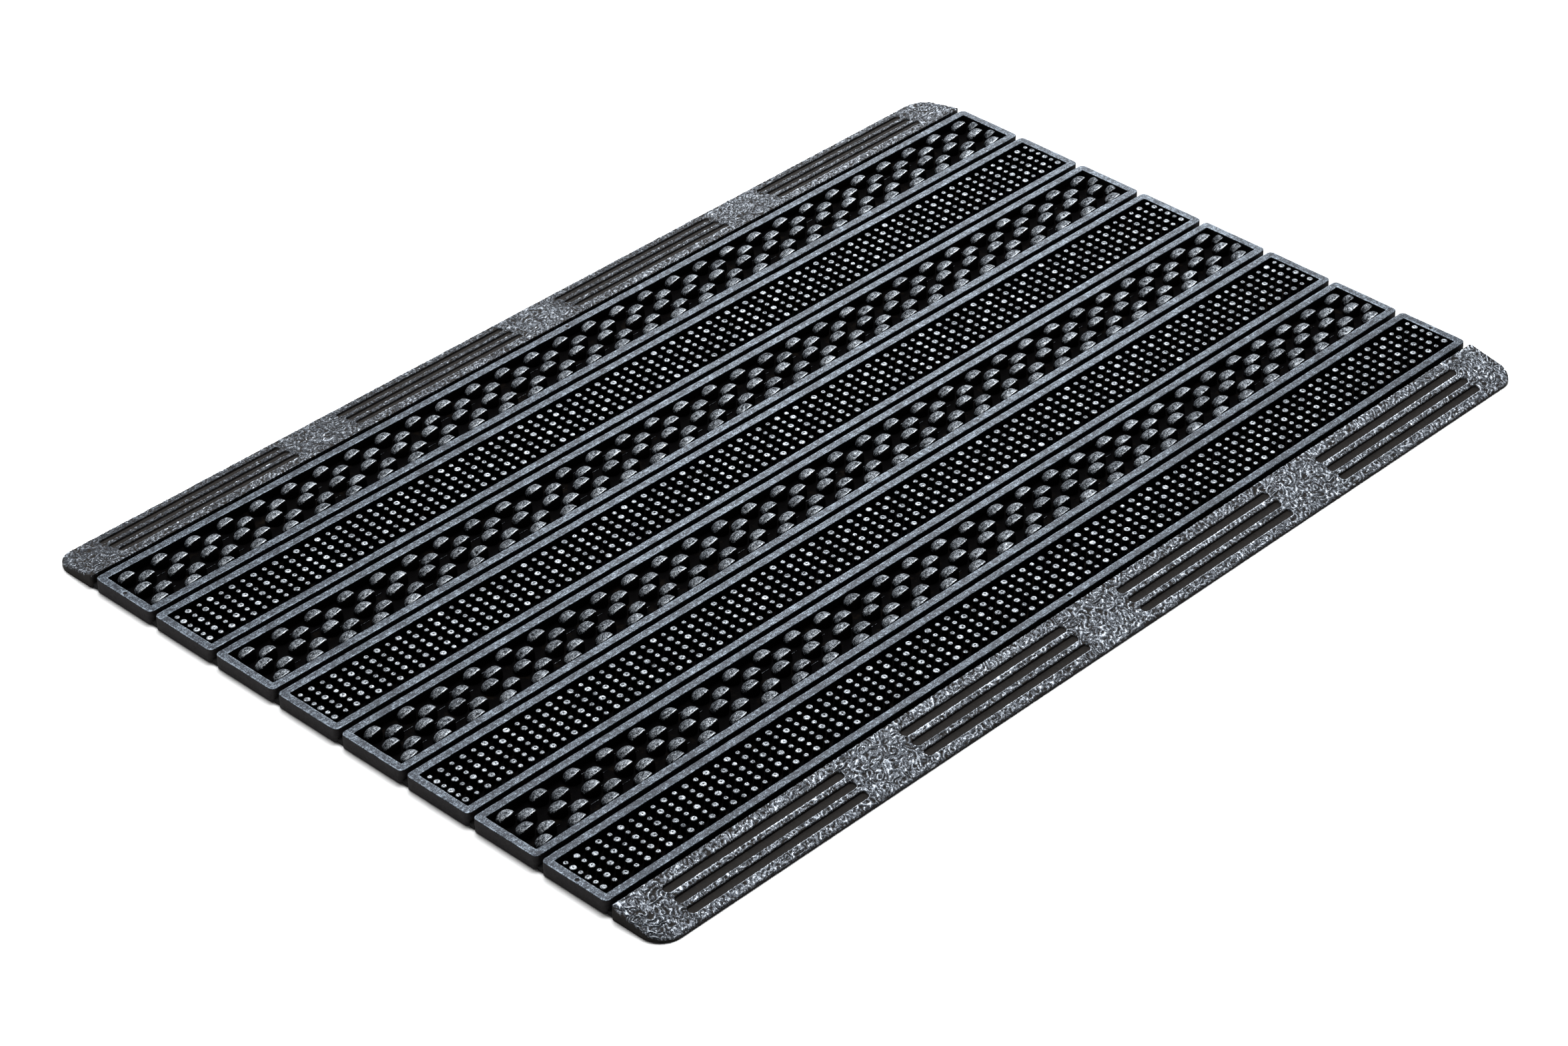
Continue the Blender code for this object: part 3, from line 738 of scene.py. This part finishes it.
def border_axis_positions():
    xs = list(np.arange(-HALF, HALF + 0.01, 0.56))
    r = SLOT_W / 2
    for cx in SLOT_CX:
        for s in (-1, 1):
            e = cx + s * SLOT_LEN / 2
            xs.extend(np.linspace(e - s * 1.2, e + s * 0.4, 7))
    # closer together where the plan's outer corners round off
    for s in (-1, 1):
        xs.extend(s * (HALF - 12.0 * (1 - np.cos(np.linspace(0, np.pi / 2, 22)))))
        xs.extend(s * (HALF - np.array([0.0, 0.03, 0.12, 0.28, 0.5])))
    xs = np.unique(np.round(xs, 3))
    keep = [xs[0]]
    for v in xs[1:]:
        if v - keep[-1] > 0.11 or v > HALF - 0.6 or v < -HALF + 0.6:
            if v - keep[-1] > 0.02:
                keep.append(v)
    xs = np.array(keep)
    xs[-1] = HALF
    ys = list(np.linspace(0, BORDER_W, 52))
    for cy in SLOT_Y:
        for s in (-1, 1):
            e = cy + s * SLOT_W / 2
            ys.extend(e + s * np.array([-0.42, -0.26, -0.12, 0.02, 0.16, 0.34]))
    ys.extend([0.12, 0.3, BORDER_W - 0.12, BORDER_W - 0.3])
    ys = np.unique(np.round(ys, 3))
    keep = [ys[0]]
    for v in ys[1:]:
        if v - keep[-1] > 0.10:
            keep.append(v)
    ys = np.array(keep)
    ys[-1] = BORDER_W
    return xs, ys


def wrinkles(x, y, seed):
    """Curly creases, like crumpled leather: short curved strokes, 0 in the folds and 1 on the crests."""
    wx = 1.5 * perlin(x / 6.0, y / 6.0, seed)
    wy = 1.5 * perlin(x / 6.0 + 31.0, y / 6.0 + 7.0, seed + 2)
    n1 = perlin((x + wx) / 6.2, (y + wy) / 5.0, seed + 4) * 2.5
    n2 = perlin((x + wy) / 4.4 + 40.0, (y - wx) / 5.4, seed + 5) * 2.1
    stroke1 = 0.5 + 0.5 * np.cos(2 * np.pi * n1)
    stroke2 = 0.5 + 0.5 * np.cos(2 * np.pi * n2)
    pick = smoothstep(-0.08, 0.08, perlin(x / 4.2 + 11.0, y / 4.2, seed + 6))
    stroke = stroke1 * pick + stroke2 * (1 - pick)
    cut = 0.62 + 0.38 * smoothstep(-0.5, 0.1, perlin(x / 2.6, y / 2.6 + 3.0, seed + 7))
    return np.clip(stroke ** 1.15 * cut + 0.03 * perlin(x / 1.3, y / 1.3, seed + 8), 0, 1.1)


def build_border(name, node, turn):
    lo, hi = node_box(node)
    xs, ys = border_axis_positions()
    nx, ny = len(xs), len(ys)
    r_out, r_in = 12.0, 1.5
    ax = np.abs(xs)
    over = np.clip(ax - (HALF - r_out), 0, r_out)
    y_hi = BORDER_W - (r_out - np.sqrt(np.maximum(r_out ** 2 - over ** 2, 0)))
    over = np.clip(ax - (HALF - r_in), 0, r_in)
    y_lo = r_in - np.sqrt(np.maximum(r_in ** 2 - over ** 2, 0))
    X = np.broadcast_to(xs[None, :], (ny, nx)).copy()
    # rows keep their place in the middle and are only squeezed near the rounded ends
    Y = y_lo[None, :] + (ys[:, None] / BORDER_W) * (y_hi - y_lo)[None, :]
    seed = 500 if turn == 0 else 700
    crest = wrinkles(X, Y, seed)
    base = TOP - SLOPE * Y
    edge = np.minimum.reduce([Y - y_lo[None, :], y_hi[None, :] - Y, HALF - np.abs(X) + 0.0 * Y])
    d = slot_distance(X, Y)
    inside = smoothstep(0.22, -0.14, d)
    land = smoothstep(-0.1, 0.9, d) * smoothstep(-0.1, 0.9, edge)
    bump = (crest - 0.50) * 0.62 * (0.35 + 0.65 * land) + 0.08 * fbm(X / 9, Y / 9, seed + 9)
    lip = 0.10 * np.exp(-((d - 0.45) / 0.25) ** 2)
    round_off = 0.35 * (1 - smoothstep(0.0, 0.7, edge)) ** 2
    floor_dent = 0.05 * perlin(X / 6.0, Y / 1.5, seed + 12)
    top = base + (bump + lip) * (1 - inside) - 0.14 - round_off * (1 - inside)
    Z = top * (1 - inside) + (base - SLOT_DEPTH + floor_dent) * inside
    Z = np.minimum(Z, TOP)
    worn = smoothstep(-0.25, 0.35, fbm(X / 13, Y / 8, seed + 20))
    paint = (0.20 + 0.74 * smoothstep(0.02, 0.26, crest)) * (0.80 + 0.28 * worn)
    # painted highlight on the crests of the creases; the folds carry little paint and show dark rubber
    shine = 0.22 + 0.62 * smoothstep(0.62, 0.92, crest)
    # painted light falloff along the length
    shine = shine + 0.07 * (-X if turn else X) / HALF
    # the front border is made brighter as painted light, and the rear border darker round its outer slots as painted
    # shade
    shine = shine - 0.08 + (0.11 if turn else -0.26 * smoothstep(9.5, 11.0, Y) * smoothstep(4.0, 1.5, d))
    # painted highlight: the slots' edges on the side nearer the mat's front are made bright
    row_y = np.array(SLOT_Y)[np.argmin(np.abs(Y[..., None] - np.array(SLOT_Y)), -1)]
    front_side = (Y > row_y) if turn else (Y < row_y)
    shine = shine + 0.75 * np.exp(-((d - 0.24) / 0.17) ** 2) * front_side
    paint = np.maximum(paint, np.exp(-((d - 0.26) / 0.15) ** 2) * front_side)
    paint = paint * smoothstep(-0.02, 0.16, d) * (0.6 + 0.4 * smoothstep(0.0, 0.5, edge))
    paint = np.clip(paint, 0, 1)
    sgn = 1.0 if turn == 0 else -1.0
    y_base = lo[1] if turn == 0 else hi[1]

    def world(x, y, z):
        return np.column_stack([(sgn * x).reshape(-1), (y_base + sgn * y).reshape(-1), z.reshape(-1)])

    b = Build()
    t = b.add(world(X, Y, Z), paint.reshape(-1), 1.0, shine.reshape(-1))
    b.quads(grid_quads(ny, nx, t, flip=False))
    T = t + np.arange(nx * ny).reshape(ny, nx)
    loop = np.concatenate([T[0, :-1], T[:-1, -1], T[-1, ::-1][:-1], T[::-1, 0][:-1]])
    P = np.concatenate(b.points)[loop]
    m = len(loop)
    levels = [loop]
    for f in (0.5,):
        pts = P.copy()
        pts[:, 2] = P[:, 2] * f
        s = b.add(pts, 0.0, 1.0)
        levels.append(s + np.arange(m))
    pts = P.copy()
    pts[:, 2] = 0.0
    s = b.add(pts, 0.0, 1.0)
    levels.append(s + np.arange(m))
    for up, dn in zip(levels[:-1], levels[1:]):
        b.quads(np.stack([up, dn, np.roll(dn, -1), np.roll(up, -1)], -1))
    b.poly(levels[-1][::-1])
    ob = b.object(name, border_mat, 50)
    return place(ob, node, slot="silver_rubber")


for k in range(1, PANELS + 1):
    build_frame(k)
    (build_stud_tread if k % 2 else build_pin_tread)(k)
for k in range(1, PANELS + 2):
    build_web(k)
build_border("border_rear", "ramp_border_rear", 0)
build_border("border_front", "ramp_border_front", 1)

# ---------------------------------------------------------------- floor, light, camera
floor_mesh = bpy.data.meshes.new("studio_floor")
S = 6.0
floor_mesh.from_pydata([(-S, -S, 0), (S, -S, 0), (S, S, 0), (-S, S, 0)], [], [(0, 1, 2, 3)])
floor = bpy.data.objects.new("studio_floor", floor_mesh)
bpy.context.scene.collection.objects.link(floor)
floor.location.z = -0.0002
fmat = bpy.data.materials.new("studio_floor")
fmat.use_nodes = True
fs = fmat.node_tree.nodes["Principled BSDF"]
fs.inputs["Base Color"].default_value = (0.93, 0.93, 0.93, 1)
fs.inputs["Roughness"].default_value = 0.9
floor_mesh.materials.append(fmat)


def area_light(name, at, target, size, power, colour=(1, 1, 1), size_y=None):
    light = bpy.data.lights.new(name, "AREA")
    light.energy = power
    light.color = colour
    light.shape = "RECTANGLE"
    light.size = size
    light.size_y = size_y or size
    ob = bpy.data.objects.new(name, light)
    bpy.context.scene.collection.objects.link(ob)
    ob.location = at
    ob.rotation_euler = (Vector(target) - Vector(at)).to_track_quat("-Z", "Y").to_euler()
    return ob


area_light("top_softbox", (0.35, 0.45, 1.8), (0.05, 0.0, 0.0), 1.5, 70.0, (0.985, 0.995, 1.0), size_y=1.1)
area_light("back_right", (1.50, 1.30, 1.25), (0.10, 0.0, 0.0), 0.9, 34.0, (0.985, 0.995, 1.0), size_y=0.7)
area_light("key_far", (-0.35, 2.0, 1.35), (0, 0, 0), 1.6, 24.0, (1.0, 0.995, 0.985), size_y=0.8)
area_light("left", (-1.9, 0.6, 0.9), (0, 0, 0), 0.8, 2.5)

world = bpy.data.worlds.new("studio")
bpy.context.scene.world = world
world.use_nodes = True
world.node_tree.nodes["Background"].inputs["Color"].default_value = (1, 1, 1, 1)
world.node_tree.nodes["Background"].inputs["Strength"].default_value = 0.03

cam_data = bpy.data.cameras.new("camera")
cam = bpy.data.objects.new("camera", cam_data)
bpy.context.scene.collection.objects.link(cam)
cam_data.sensor_width = 36.0
cam_data.lens = 36.0 * 6600.685 / 2351.0
cam_data.clip_start = 0.05
cam_data.clip_end = 50.0
right = Vector((0.68955064, -0.72423590, 0.00151182))
down = Vector((-0.41455401, -0.39641004, -0.81914837))
forward = Vector((0.59385595, 0.56421756, -0.57357969))
m = Matrix.Identity(4)
for i in range(3):
    m[i][0], m[i][1], m[i][2] = right[i], -down[i], -forward[i]
m.translation = Vector((-1.27328148, -1.19431289, 1.18986499))
cam.matrix_world = m
bpy.context.scene.camera = cam
bpy.context.scene.view_settings.view_transform = "Standard"
bpy.context.scene.view_settings.look = "None"
bpy.context.scene.view_settings.exposure = 0.0
